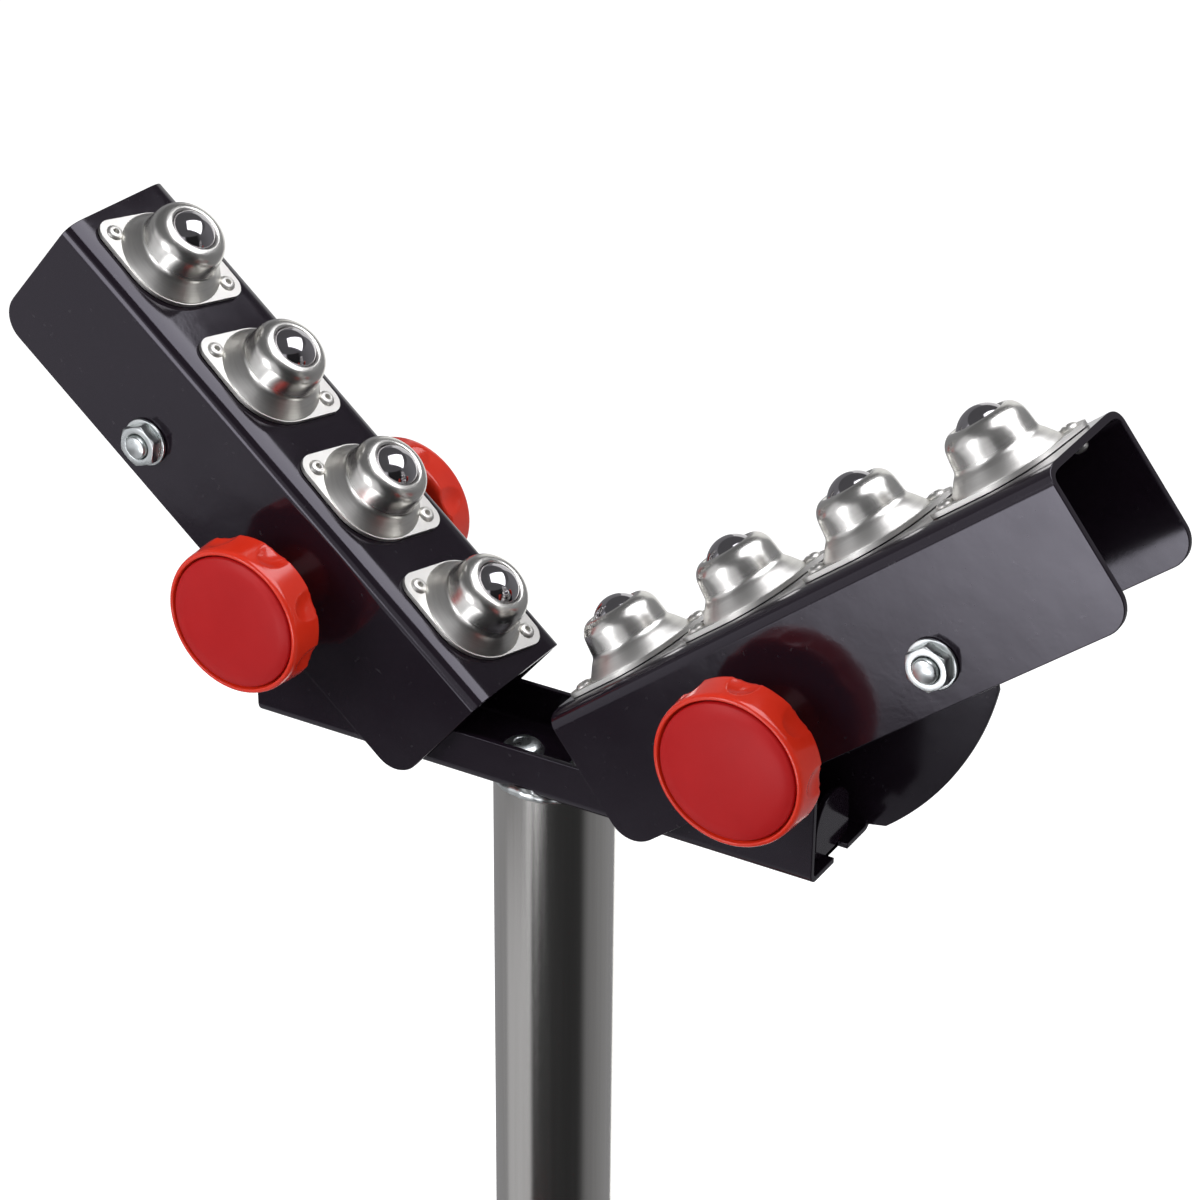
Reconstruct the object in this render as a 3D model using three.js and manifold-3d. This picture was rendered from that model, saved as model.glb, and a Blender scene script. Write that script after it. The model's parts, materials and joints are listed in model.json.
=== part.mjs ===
// Height-adjustable stand whose V-shaped head carries bars and pipes on steel balls.
// Millimetres, +Z up, +X along the head, front at -Y, origin on the floor under the post's axis.
import * as THREE from "three";
import { mergeVertices } from "three/addons/utils/BufferGeometryUtils.js";
import Module from "manifold-3d";

const wasm = await Module();
wasm.setup();

// Fits
const gap = 0.3; // between two pieces that bear on each other
const boltPlay = 0.3; // round bolts, studs and rivets in their holes

// Rest position
const bracketHeight = 700; // floor to underside of bracket
const leftTilt = 40.1; // degrees, outer end raised
const rightTilt = 38.1;

// Roller arms
const armLength = 250;
const armWidth = 63;
const armHeight = 61.2;
const armSheet = 3;
const armBendInside = 3.5;
const armCorner = 12; // lower corners of the two walls
const pivotFromEnd = 88.6; // inner end of arm to pivot axis
const pivotDrop = 42.8; // top face of arm to pivot axis
const tieFromPivot = 81;
const tieDrop = 1.5; // pivot axis to tie axis, towards the open side

// Ball units
const unitsPerArm = 4;
const unitEndMargin = 32; // end of arm to the nearest ball
const ballRadius = 11.1;
const ballRise = 26.8; // top of ball above the arm
const ballShow = 4.3; // part of the ball above the housing
const ballPlay = 0.35;
const bearingRadius = 1.2;
const bearingCount = 6;
const bearingTilt = 35; // degrees below the ball's middle
const cupWall = 1;
const housingSheet = 1.2;
const domeHeight = 7.9;
const bodyFlare = 0.6; // body is wider where it meets the skirt
const skirtHeight = 9.2; // top of the flared skirt above the arm
const skirtInset = 4.1; // rim of flange to the upper part of the skirt
const flangeRadius = 22.8;
const flangeSheet = 1.8;
const lugRadius = 6.5;
const rivetSpacing = 50.8;
const rivetAngle = 38.1; // degrees, line of the two rivets across the arm
const rivetRadius = 2.4;
const rivetHeadRadius = 3.4;
const rivetHeadHeight = 1.6;
const rivetTailRadius = 3.2;
const rivetTailLength = 4;

// Base bracket
const pivotX = 110.7; // post axis to each pivot
const pivotRise = 63.85; // underside of bracket to pivots
const pivotGap = 3.1; // between bracket and arm, each side
const bracketSheet = 2.5;
const bracketBendInside = 2;
const wallHeight = 20; // walls between the arms
const earRadius = 17.8;
const wingRadius = 120.5;
const wingCentreX = 60;
const wingCentreZ = 97;
const wingTop = 34; // top of wing above the pivot
const wingClear = 4; // wing to tie spacer
const notchWidth = 11.5;
const notchDepth = 4;
const tongueRadius = 14;
const tongueHeight = 28;

// Pivots, knobs and ties
const studRadius = 5;
const studReach = 20; // stud inside each knob
const washerRadius = 14;
const knobRadius = 31.5;
const knobDepth = 31.7;
const knobHubRadius = 13;
const knobHubLength = 15.5;
const knobBevel = 1.6;
const scallops = 8;
const scallopDepth = 2;
const scallopCut = { out: 6, round: 9.3, along: 11.7 }; // half axes of the egg-shaped hollow
const scallopFromBack = 5; // back of the rim to the widest part of the scallops
const capRadius = 27.9;
const leftKnobTurn = 20; // degrees, knobs of the left arm
const capSeat = 4; // depth of the recess for the cap
const capCrown = 1;
const tieRadius = 5;
const tieSpacerWall = 2.7;
const hexAcrossFlats = 16;
const nutHeight = 4.8;
const nutWasherRadius = 10;
const nutWasherHeight = 1.4;
const boltHeadHeight = 6.4;
const tieEndProud = 1.5; // bolt end beyond the nut

// Post, column and clamp
const postRadius = 25;
const postWall = 3;
const postInside = 160; // length of post inside the column at rest
const postPlate = 8;
const headBoltX = 15.5;
const headBoltRadius = 5;
const headBoltDomeRadius = 9;
const headBoltDomeHeight = 5;
const bushWall = 2.4;
const bushLength = 25;
const bushFlange = 3.5;
const bushLip = 4;
const columnWall = 2;
const columnTop = 450;
const clampDrop = 45; // top of column to clamp screw
const clampBossRadius = 12;
const clampBossLength = 14;
const clampScrewShow = 6; // screw between boss and knob

// Feet and legs
const footHeight = 20;
const footPadRadius = 24;
const footPadHeight = 12;
const footStemRadius = 11;
const beamWidth = 50;
const beamHeight = 30;
const beamWall = 2.5;
const beamCorner = 4;
const beamReach = 365; // post axis to end of each leg
const footInset = 30;
const drainRadius = 3;

// Facets of round shapes
const fine = 32;
const medium = 16;
const coarse = 12;
const least = 7;
const archSteps = 3; // straight steps in a quarter round

// Worked out from the driving dimensions
const rad = THREE.MathUtils.degToRad;
const armBend = armBendInside + armSheet;
const armInner = armWidth / 2 - armSheet;
const bracketHalf = armInner - pivotGap;
const bracketBend = bracketBendInside + bracketSheet;
const bracketEnd = pivotX + earRadius;
const unitPitch = (armLength - 2 * unitEndMargin) / (unitsPerArm - 1);
const ballCentre = ballRise - ballRadius;
const lipHeight = ballRise - ballShow;
const cupInner = ballRadius + ballPlay + 2 * bearingRadius;
const cupOuter = cupInner + cupWall;
const bodyInner = cupOuter + gap;
const bodyRadius = bodyInner + housingSheet;
const domeFoot = lipHeight - domeHeight;
const tieSpacerRadius = tieRadius + boltPlay + tieSpacerWall;
const wingTrim = tieFromPivot - tieSpacerRadius - wingClear;
const columnInner = postRadius + gap + bushWall + gap;
const columnRadius = columnInner + columnWall;
const beamTop = footHeight + beamHeight;
const clampHeight = columnTop - clampDrop;
const bossEnd = columnRadius + clampBossLength;

const finishes = {
  paint: { color: 0x1c1a1c, roughness: 0.22, metalness: 0.1 },
  housing: { color: 0xb9b8b3, roughness: 0.3, metalness: 1 },
  ball: { color: 0x6a666c, roughness: 0.08, metalness: 1 },
  steel: { color: 0x8d8c8a, roughness: 0.35, metalness: 1 },
  zinc: { color: 0xd6d6d2, roughness: 0.25, metalness: 1 },
  chrome: { color: 0xa9a9ab, roughness: 0.18, metalness: 1 },
  rim: { color: 0xdf3a26, roughness: 0.3, metalness: 0 },
  cap: { color: 0xb01f24, roughness: 0.5, metalness: 0 },
  nylon: { color: 0x2a2a2b, roughness: 0.6, metalness: 0 },
  rubber: { color: 0x19191a, roughness: 0.8, metalness: 0 },
};

// Solids

function solid(geometry) {
  const bare = geometry.index ? geometry.toNonIndexed() : geometry.clone();
  bare.deleteAttribute("normal");
  bare.deleteAttribute("uv");
  const merged = mergeVertices(bare, 1e-4);
  const vertProperties = new Float32Array(merged.attributes.position.array);
  const triVerts = new Uint32Array(merged.index.array);
  return new wasm.Manifold(new wasm.Mesh({ numProp: 3, vertProperties, triVerts }));
}

function geometryOf(body) {
  const mesh = body.getMesh();
  const geometry = new THREE.BufferGeometry();
  geometry.setAttribute("position", new THREE.BufferAttribute(mesh.vertProperties, 3));
  geometry.setIndex(new THREE.BufferAttribute(mesh.triVerts, 1));
  geometry.computeVertexNormals();
  return geometry;
}

function join(first, ...others) {
  return others.reduce((body, other) => body.add(other), first);
}

function cut(body, ...tools) {
  return tools.reduce((left, tool) => left.subtract(tool), body);
}

function extruded(shape, depth, curveSegments) {
  return new THREE.ExtrudeGeometry(shape, { depth, curveSegments, bevelEnabled: false });
}

// A shape drawn in Y and Z, drawn out from one X to another.
function alongX(shape, from, to, curveSegments = archSteps) {
  const turn = new THREE.Matrix4().makeBasis(
    new THREE.Vector3(0, 1, 0),
    new THREE.Vector3(0, 0, 1),
    new THREE.Vector3(1, 0, 0),
  );
  return solid(extruded(shape, to - from, curveSegments).applyMatrix4(turn).translate(from, 0, 0));
}

// A shape drawn in X and Z, drawn out from one Y to another.
function alongY(shape, from, to, curveSegments = 2 * archSteps) {
  return solid(extruded(shape, to - from, curveSegments).rotateX(Math.PI / 2).translate(0, to, 0));
}

function alongZ(shape, from, to, curveSegments = archSteps) {
  return solid(extruded(shape, to - from, curveSegments).translate(0, 0, from));
}

function rodY(radius, from, to, x = 0, z = 0, segments = coarse) {
  const rod = new THREE.CylinderGeometry(radius, radius, to - from, segments);
  return solid(rod.translate(x, (from + to) / 2, z));
}

function rodZ(radius, from, to, x = 0, y = 0, segments = coarse) {
  const rod = new THREE.CylinderGeometry(radius, radius, to - from, segments);
  return solid(rod.rotateX(Math.PI / 2).translate(x, y, (from + to) / 2));
}

function block(fromX, toX, fromY, toY, fromZ, toZ) {
  const box = new THREE.BoxGeometry(toX - fromX, toY - fromY, toZ - fromZ);
  return solid(box.translate((fromX + toX) / 2, (fromY + toY) / 2, (fromZ + toZ) / 2));
}

// Turned about Z from radius and height pairs, listed upwards along the outside.
function turned(profile, segments) {
  const points = profile.map(([radius, height]) => new THREE.Vector2(radius, height));
  return solid(new THREE.LatheGeometry(points, segments).rotateX(Math.PI / 2));
}

function hexagon(acrossFlats) {
  const corner = acrossFlats / Math.sqrt(3);
  const points = [...Array(6).keys()].map(
    (i) => new THREE.Vector2(corner * Math.cos((i * Math.PI) / 3), corner * Math.sin((i * Math.PI) / 3)),
  );
  return new THREE.Shape(points);
}

// Folded channel, open below, drawn in Y and Z.
function channelOutline(half, top, bottom, sheet, bend) {
  const inside = bend - sheet;
  const shape = new THREE.Shape();
  shape.moveTo(-half, bottom);
  shape.lineTo(-half, top - bend);
  shape.absarc(bend - half, top - bend, bend, Math.PI, Math.PI / 2, true);
  shape.absarc(half - bend, top - bend, bend, Math.PI / 2, 0, true);
  shape.lineTo(half, bottom);
  shape.lineTo(half - sheet, bottom);
  shape.absarc(half - bend, top - bend, inside, 0, Math.PI / 2, false);
  shape.absarc(bend - half, top - bend, inside, Math.PI / 2, Math.PI, false);
  shape.lineTo(sheet - half, bottom);
  return shape;
}

// Roller arm, with the pivot axis at the origin and the outer end at +X.
function armSolid() {
  const inner = -pivotFromEnd;
  const outer = inner + armLength;
  const bottom = pivotDrop - armHeight;
  const channel = alongX(channelOutline(armWidth / 2, pivotDrop, bottom, armSheet, armBend), inner, outer);
  const side = new THREE.Shape();
  side.moveTo(inner, pivotDrop + armSheet);
  side.lineTo(inner, bottom + armCorner);
  side.absarc(inner + armCorner, bottom + armCorner, armCorner, Math.PI, 1.5 * Math.PI, false);
  side.absarc(outer - armCorner, bottom + armCorner, armCorner, 1.5 * Math.PI, 2 * Math.PI, false);
  side.lineTo(outer, pivotDrop + armSheet);
  const holes = [
    rodY(studRadius + boltPlay, -armWidth, armWidth),
    rodY(tieRadius + boltPlay, -armWidth, armWidth, tieFromPivot, -tieDrop),
  ];
  for (const x of unitPlaces()) {
    for (const [dx, dy] of rivetPlaces()) {
      holes.push(rodZ(rivetRadius + boltPlay, pivotDrop - 2 * armSheet, pivotDrop + armSheet, x + dx, dy, least));
    }
  }
  return cut(channel.intersect(alongY(side, -armWidth, armWidth)), ...holes);
}

function unitPlaces() {
  return [...Array(unitsPerArm).keys()].map((i) => unitEndMargin + i * unitPitch - pivotFromEnd);
}

function rivetPlaces() {
  const dx = (rivetSpacing / 2) * Math.cos(rad(rivetAngle));
  const dy = (rivetSpacing / 2) * Math.sin(rad(rivetAngle));
  return [
    [-dx, -dy],
    [dx, dy],
  ];
}

function ballSection(height) {
  return Math.sqrt(ballRadius ** 2 - (height - ballCentre) ** 2);
}

// Housing with its two rivets, standing on the arm's top face at Z 0.
function housingSolid() {
  const lipUnder = lipHeight - 0.8 * housingSheet;
  const lipRadius = ballSection(lipHeight) + ballPlay;
  const lipUnderRadius = ballSection(lipUnder) + ballPlay;
  const flangeTop = gap + flangeSheet;
  const skirtRise = skirtHeight - flangeTop;
  const dome = [0, 0.4, 0.7, 1].map((t) => [
    lipRadius + (bodyRadius - lipRadius) * Math.cos((t * Math.PI) / 2),
    domeFoot + domeHeight * Math.sin((t * Math.PI) / 2),
  ]);
  const ceiling = [1, 0.5, 0].map((t) => [
    lipUnderRadius + (bodyInner - lipUnderRadius) * Math.cos((t * Math.PI) / 2),
    domeFoot + (lipUnder - domeFoot) * Math.sin((t * Math.PI) / 2),
  ]);
  const foot = [bodyInner, gap + 0.5 * flangeSheet];
  const profile = [
    foot,
    [flangeRadius - 0.15 * skirtInset, gap + 0.5 * flangeSheet],
    [flangeRadius - 0.3 * skirtInset, flangeTop + 0.2 * skirtRise],
    [flangeRadius - skirtInset, flangeTop + 0.75 * skirtRise],
    [bodyRadius + bodyFlare, skirtHeight],
    ...dome,
    ...ceiling,
    foot,
  ];
  return join(turned(profile, medium), flangeSolid(), ...rivetPlaces().map(rivetSolid));
}

// Flange plate with a round lug for each rivet.
function flangeSolid() {
  const reach = rivetSpacing / 2;
  const lean = Math.acos((flangeRadius - lugRadius) / reach);
  const plate = new THREE.Shape();
  plate.absarc(reach, 0, lugRadius, -lean, lean, false);
  plate.absarc(0, 0, flangeRadius, lean, Math.PI - lean, false);
  plate.absarc(-reach, 0, lugRadius, Math.PI - lean, Math.PI + lean, false);
  plate.absarc(0, 0, flangeRadius, Math.PI + lean, 2 * Math.PI - lean, false);
  const bore = rodZ(bodyInner + 0.5 * housingSheet, -flangeSheet, 2 * flangeSheet + gap, 0, 0, medium);
  return cut(alongZ(plate, gap, gap + flangeSheet), bore).rotate([0, 0, rivetAngle]);
}

// Blind rivet: low head on the flange, shank through the arm and a swollen tail below it.
function rivetSolid([x, y]) {
  const flangeTop = gap + flangeSheet;
  const headTop = flangeTop + rivetHeadHeight;
  const tailTop = -armSheet - gap;
  const tailEnd = tailTop - rivetTailLength;
  const profile = [
    [0, tailEnd],
    [0.6 * rivetTailRadius, tailEnd],
    [rivetTailRadius, tailTop - 0.5 * rivetTailLength],
    [rivetRadius, tailTop],
    [rivetRadius, flangeTop - 0.2 * flangeSheet],
    [rivetHeadRadius, flangeTop - 0.2 * flangeSheet],
    [rivetHeadRadius, flangeTop + 0.3 * rivetHeadHeight],
    [0.5 * rivetHeadRadius, headTop],
    [0, headTop],
  ];
  return turned(profile, least).translate([x, y, 0]);
}

// Cup under the ball, with the bearing balls that the ball runs on.
function cupSolid() {
  const rim = Math.min(domeFoot, ballCentre);
  const rimAngle = Math.asin((ballCentre - rim) / cupInner);
  const bowl = [0, 0.33, 0.66].map((t) => {
    const angle = rimAngle + t * (Math.PI / 2 - rimAngle);
    return [cupInner * Math.cos(angle), ballCentre - cupInner * Math.sin(angle)];
  });
  const profile = [[0, gap], [cupOuter, gap], [cupOuter, rim], ...bowl, [0, ballCentre - cupInner]];
  const reach = cupInner - 0.7 * bearingRadius;
  const level = reach * Math.cos(rad(bearingTilt));
  const drop = reach * Math.sin(rad(bearingTilt));
  const bearings = [...Array(bearingCount).keys()].map((i) => {
    const angle = (i * 2 * Math.PI) / bearingCount;
    const bearing = new THREE.IcosahedronGeometry(bearingRadius, 0);
    return solid(bearing.translate(level * Math.cos(angle), level * Math.sin(angle), ballCentre - drop));
  });
  return join(turned(profile, medium), ...bearings);
}

// Base bracket, with its underside at Z 0 and the post axis at the origin.
function bracketSolid() {
  const top = pivotRise + earRadius;
  const section = channelOutline(bracketHalf, 0, -top, bracketSheet, bracketBend);
  const channel = alongX(section, -bracketEnd, bracketEnd).rotate([180, 0, 0]);
  const lean = 0.75 * Math.PI; // where each ear's round meets its slope
  const slopeX = pivotX + earRadius * Math.cos(lean);
  const slopeZ = pivotRise + earRadius * Math.sin(lean);
  const footX = slopeX - (slopeZ - wallHeight);
  const side = new THREE.Shape();
  side.moveTo(-bracketEnd, -bracketSheet);
  side.lineTo(bracketEnd, -bracketSheet);
  side.absarc(pivotX, pivotRise, earRadius, 0, lean, false);
  side.lineTo(footX, wallHeight);
  side.lineTo(-footX, wallHeight);
  side.absarc(-pivotX, pivotRise, earRadius, Math.PI - lean, Math.PI, false);
  const extras = [];
  const tools = [];
  for (const sign of [-1, 1]) {
    const x = sign * pivotX;
    const backInner = bracketHalf - bracketSheet;
    const round = rodY(wingRadius, backInner, bracketHalf, sign * wingCentreX, wingCentreZ, 2 * fine);
    const trim = rodY(wingTrim, backInner, bracketHalf, x, pivotRise, 2 * fine);
    const far = sign * (pivotX + wingTrim);
    const reach = block(Math.min(x, far), Math.max(x, far), 0, armWidth, 0, pivotRise + wingTop);
    extras.push(round.intersect(trim).intersect(reach));
    const outline = new THREE.Shape();
    outline.moveTo(-notchWidth / 2, 0);
    outline.lineTo(notchWidth / 2, 0);
    outline.lineTo(tongueRadius, 1.5 * bracketSheet);
    outline.absarc(0, tongueHeight - tongueRadius, tongueRadius, 0, Math.PI, false);
    outline.lineTo(-tongueRadius, 1.5 * bracketSheet);
    const notchX = sign * (bracketEnd - notchDepth);
    const tongueX = notchX - sign * bracketSheet;
    extras.push(alongX(outline, Math.min(notchX, tongueX), Math.max(notchX, tongueX)));
    const pastEnd = sign * (bracketEnd + notchDepth);
    const notchFrom = Math.min(notchX, pastEnd);
    const notchTo = Math.max(notchX, pastEnd);
    tools.push(block(notchFrom, notchTo, -notchWidth / 2, notchWidth / 2, -1, 2 * bracketSheet));
    tools.push(rodY(studRadius + boltPlay, -armWidth, armWidth, x, pivotRise));
    tools.push(rodZ(headBoltRadius + boltPlay, -bracketSheet, 2 * bracketSheet, sign * headBoltX));
  }
  return cut(join(channel.intersect(alongY(side, -armWidth, armWidth)), ...extras), ...tools);
}

// Knob body along +Z, with the back of its hub at Z 0.
function knobSolid() {
  const profile = [
    [0, 0],
    [knobHubRadius, 0],
    [knobHubRadius, knobHubLength],
    [knobRadius - knobBevel, knobHubLength],
    [knobRadius, knobHubLength + knobBevel],
    [knobRadius, knobDepth - knobBevel],
    [knobRadius - knobBevel, knobDepth],
    [0, knobDepth],
  ];
  const hollows = [...Array(scallops).keys()].map((i) => {
    const { out, round, along } = scallopCut;
    const hollow = new THREE.IcosahedronGeometry(1, 1).scale(out, round, along);
    hollow.translate(knobRadius - scallopDepth + out, 0, knobHubLength + scallopFromBack);
    return solid(hollow.rotateZ((i * 2 * Math.PI) / scallops));
  });
  return cut(turned(profile, fine), ...hollows);
}

function pivotKnobSolid() {
  const recess = rodZ(capRadius + gap, knobDepth - capSeat, knobDepth + 1, 0, 0, 2 * coarse);
  const bore = rodZ(studRadius + boltPlay, -1, studReach + gap);
  return cut(knobSolid(), recess, bore);
}

function capSolid() {
  const foot = knobDepth - capSeat + gap;
  const profile = [
    [0, foot],
    [capRadius, foot],
    [capRadius, knobDepth],
    [0.9 * capRadius, knobDepth + 0.5 * capCrown],
    [0, knobDepth + capCrown],
  ];
  return turned(profile, 2 * coarse);
}

// Height clamp: knob and screw along +Z, with the tip of the screw at Z 0.
function clampSolid() {
  const screwLength = bossEnd + clampScrewShow - postRadius - gap;
  const screw = rodZ(studRadius, 0, screwLength + 1);
  return join(knobSolid().translate([0, 0, screwLength]), screw);
}

// Tie bolt across an arm: head at -Z, nut end at +Z, middle of the arm at Z 0.
function tieBoltSolid() {
  const seat = armWidth / 2 + gap;
  const end = seat + nutWasherHeight + nutHeight + tieEndProud;
  const head = alongZ(hexagon(hexAcrossFlats), -seat - boltHeadHeight, -seat);
  return join(head, rodZ(tieRadius, -seat - 1, end));
}

// Nut on a round washer.
function tieNutSolid() {
  const top = nutWasherHeight + nutHeight;
  const washer = rodZ(nutWasherRadius, 0, nutWasherHeight, 0, 0, medium);
  const hex = alongZ(hexagon(hexAcrossFlats), nutWasherHeight, top);
  return cut(join(washer, hex), rodZ(tieRadius + boltPlay, -1, top + 1));
}

function headBoltSolid() {
  const seat = bracketSheet + gap;
  const rise = headBoltDomeHeight;
  const profile = [
    [0, -gap - postPlate],
    [headBoltRadius, -gap - postPlate],
    [headBoltRadius, seat],
    [headBoltDomeRadius, seat],
    [headBoltDomeRadius, seat + 0.35 * rise],
    [0.72 * headBoltDomeRadius, seat + 0.85 * rise],
    [0, seat + rise],
  ];
  return turned(profile, coarse);
}

// Post, with its top at Z 0.
function postSolid() {
  const length = bracketHeight - gap - columnTop + postInside;
  const tube = rodZ(postRadius, -length, 0, 0, 0, fine);
  const bore = rodZ(postRadius - postWall, -length - 1, -postPlate, 0, 0, fine);
  const holes = [-1, 1].map((s) => rodZ(headBoltRadius + boltPlay, -2 * postPlate, 1, s * headBoltX));
  return cut(tube, bore, ...holes);
}

function ringSolid(inner, outer, from, to, segments) {
  return cut(rodZ(outer, from, to, 0, 0, segments), rodZ(inner, from - 1, to + 1, 0, 0, segments));
}

function bushSolid() {
  const inner = postRadius + gap;
  const sleeve = ringSolid(inner, inner + bushWall, columnTop - bushLength, columnTop + bushLip, fine);
  const lip = ringSolid(inner, columnRadius + bushFlange, columnTop + gap, columnTop + bushLip, fine);
  return join(sleeve, lip);
}

function columnSolid() {
  const tube = rodZ(columnRadius, beamTop + gap, columnTop, 0, 0, fine);
  const boss = rodY(clampBossRadius, -bossEnd, -columnInner, 0, clampHeight, medium);
  const bore = rodZ(columnInner, beamTop, columnTop + 1, 0, 0, fine);
  const thread = rodY(studRadius + boltPlay, -bossEnd - 1, 0, 0, clampHeight);
  return cut(join(tube, boss), bore, thread);
}

// Box section with closed ends and a drain hole below, along X.
function beamSolid(from, to) {
  const section = new THREE.Shape();
  const half = beamWidth / 2 - beamCorner;
  const low = footHeight + beamCorner;
  const high = beamTop - beamCorner;
  section.absarc(half, low, beamCorner, 1.5 * Math.PI, 2 * Math.PI, false);
  section.absarc(half, high, beamCorner, 0, Math.PI / 2, false);
  section.absarc(-half, high, beamCorner, Math.PI / 2, Math.PI, false);
  section.absarc(-half, low, beamCorner, Math.PI, 1.5 * Math.PI, false);
  const inY = beamWidth / 2 - beamWall;
  const hollow = block(from + beamWall, to - beamWall, -inY, inY, footHeight + beamWall, beamTop - beamWall);
  const drain = rodZ(drainRadius, footHeight - 1, footHeight + 2 * beamWall, to - 2 * footInset, 0, least);
  return cut(alongX(section, from, to), hollow, drain);
}

// Rubber foot, with its sole at Z 0.
function footSolid() {
  const profile = [
    [0, 0],
    [footPadRadius - 1, 0],
    [footPadRadius, 2],
    [0.85 * footPadRadius, footPadHeight],
    [footStemRadius, footPadHeight],
    [footStemRadius, footHeight - gap],
    [0, footHeight - gap],
  ];
  return turned(profile, medium);
}

// Assembly

const stand = new THREE.Group();

function add(parent, name, geometry, finish) {
  const mesh = new THREE.Mesh(geometry, new THREE.MeshStandardMaterial(finishes[finish]));
  mesh.name = name;
  parent.add(mesh);
  return mesh;
}

function addFeetAndColumn() {
  const long = new THREE.Group();
  long.rotation.z = rad(45);
  const short = new THREE.Group();
  short.rotation.z = rad(-45);
  stand.add(long, short);
  add(long, "base_beam", geometryOf(beamSolid(-beamReach, beamReach)), "paint");
  const leg = geometryOf(beamSolid(beamWidth / 2 + gap, beamReach));
  add(short, "right_leg", leg, "paint");
  add(short, "left_leg", leg, "paint").rotation.z = Math.PI;
  const foot = geometryOf(footSolid());
  const reach = beamReach - footInset;
  add(long, "back_right_foot", foot, "rubber").position.x = reach;
  add(long, "front_left_foot", foot, "rubber").position.x = -reach;
  add(short, "front_right_foot", foot, "rubber").position.x = reach;
  add(short, "back_left_foot", foot, "rubber").position.x = -reach;
  add(stand, "column", geometryOf(columnSolid()), "paint");
  add(stand, "guide_bush", geometryOf(bushSolid()), "nylon");
  const clamp = add(stand, "height_clamp_knob", geometryOf(clampSolid()), "rim");
  clamp.position.set(0, -postRadius - gap, clampHeight);
  clamp.rotation.x = Math.PI / 2;
}

function addHead(head) {
  add(head, "post", geometryOf(postSolid()), "chrome").position.z = -gap;
  add(head, "base_bracket", geometryOf(bracketSolid()), "paint");
  const bolt = geometryOf(headBoltSolid());
  add(head, "left_head_bolt", bolt, "zinc").position.x = -headBoltX;
  add(head, "right_head_bolt", bolt, "zinc").position.x = headBoltX;
  const knob = geometryOf(pivotKnobSolid());
  const cap = geometryOf(capSolid());
  const washer = geometryOf(ringSolid(studRadius + boltPlay, washerRadius, gap, pivotGap - gap, coarse));
  const studHalf = armWidth / 2 + gap + studReach;
  const stud = geometryOf(rodY(studRadius, -studHalf, studHalf));
  for (const [side, sign] of [["left", -1], ["right", 1]]) {
    const pivot = new THREE.Group();
    pivot.position.set(sign * pivotX, 0, pivotRise);
    head.add(pivot);
    add(pivot, `${side}_pivot_stud`, stud, "steel");
    for (const [end, away] of [["front", -1], ["back", 1]]) {
      const axis = new THREE.Group();
      axis.rotation.x = (-away * Math.PI) / 2;
      pivot.add(axis);
      add(axis, `${side}_${end}_washer`, washer, "nylon").position.z = bracketHalf;
      const grip = add(axis, `${side}_${end}_knob`, knob, "rim");
      grip.position.z = armWidth / 2 + gap;
      grip.rotation.z = sign < 0 ? rad(leftKnobTurn) : 0;
      add(axis, `${side}_${end}_knob_cap`, cap, "cap").position.z = armWidth / 2 + gap;
    }
  }
}

function addArms(head) {
  const arm = geometryOf(armSolid());
  const housing = geometryOf(housingSolid());
  const cup = geometryOf(cupSolid());
  const ball = new THREE.SphereGeometry(ballRadius, coarse, 8).rotateX(Math.PI / 2);
  const bolt = geometryOf(tieBoltSolid());
  const nut = geometryOf(tieNutSolid());
  const spacerHalf = armInner - gap;
  const bore = tieRadius + boltPlay;
  const spacer = geometryOf(ringSolid(bore, tieSpacerRadius, -spacerHalf, spacerHalf, coarse));
  for (const [side, sign, tilt] of [["left", -1, leftTilt], ["right", 1, rightTilt]]) {
    const pivot = new THREE.Group();
    pivot.position.set(sign * pivotX, 0, pivotRise);
    pivot.rotation.y = -sign * rad(tilt);
    head.add(pivot);
    const body = new THREE.Group();
    body.rotation.z = sign < 0 ? Math.PI : 0;
    pivot.add(body);
    add(body, `${side}_arm`, arm, "paint");
    unitPlaces().forEach((x, i) => {
      const unit = new THREE.Group();
      unit.position.set(x, 0, pivotDrop);
      body.add(unit);
      add(unit, `${side}_housing_${i + 1}`, housing, "housing");
      add(unit, `${side}_cup_${i + 1}`, cup, "steel");
      add(unit, `${side}_ball_${i + 1}`, ball, "ball").position.z = ballCentre;
    });
    const tie = new THREE.Group();
    tie.position.set(tieFromPivot, 0, -tieDrop);
    tie.rotation.x = (sign * Math.PI) / 2;
    body.add(tie);
    add(tie, `${side}_tie_bolt`, bolt, "zinc");
    add(tie, `${side}_tie_nut`, nut, "zinc").position.z = armWidth / 2 + gap;
    add(tie, `${side}_tie_spacer`, spacer, "steel");
  }
}

const head = new THREE.Group();
head.position.z = bracketHeight;
stand.add(head);
addFeetAndColumn();
addHead(head);
addArms(head);

export default stand;
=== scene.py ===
# Looks of a stand whose V-shaped head carries bars and pipes on steel balls.
# Metres, +Z up, +X along the head, front at -Y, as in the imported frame.
import json
import math

import bmesh
import bpy
from mathutils import Matrix, Vector


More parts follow.
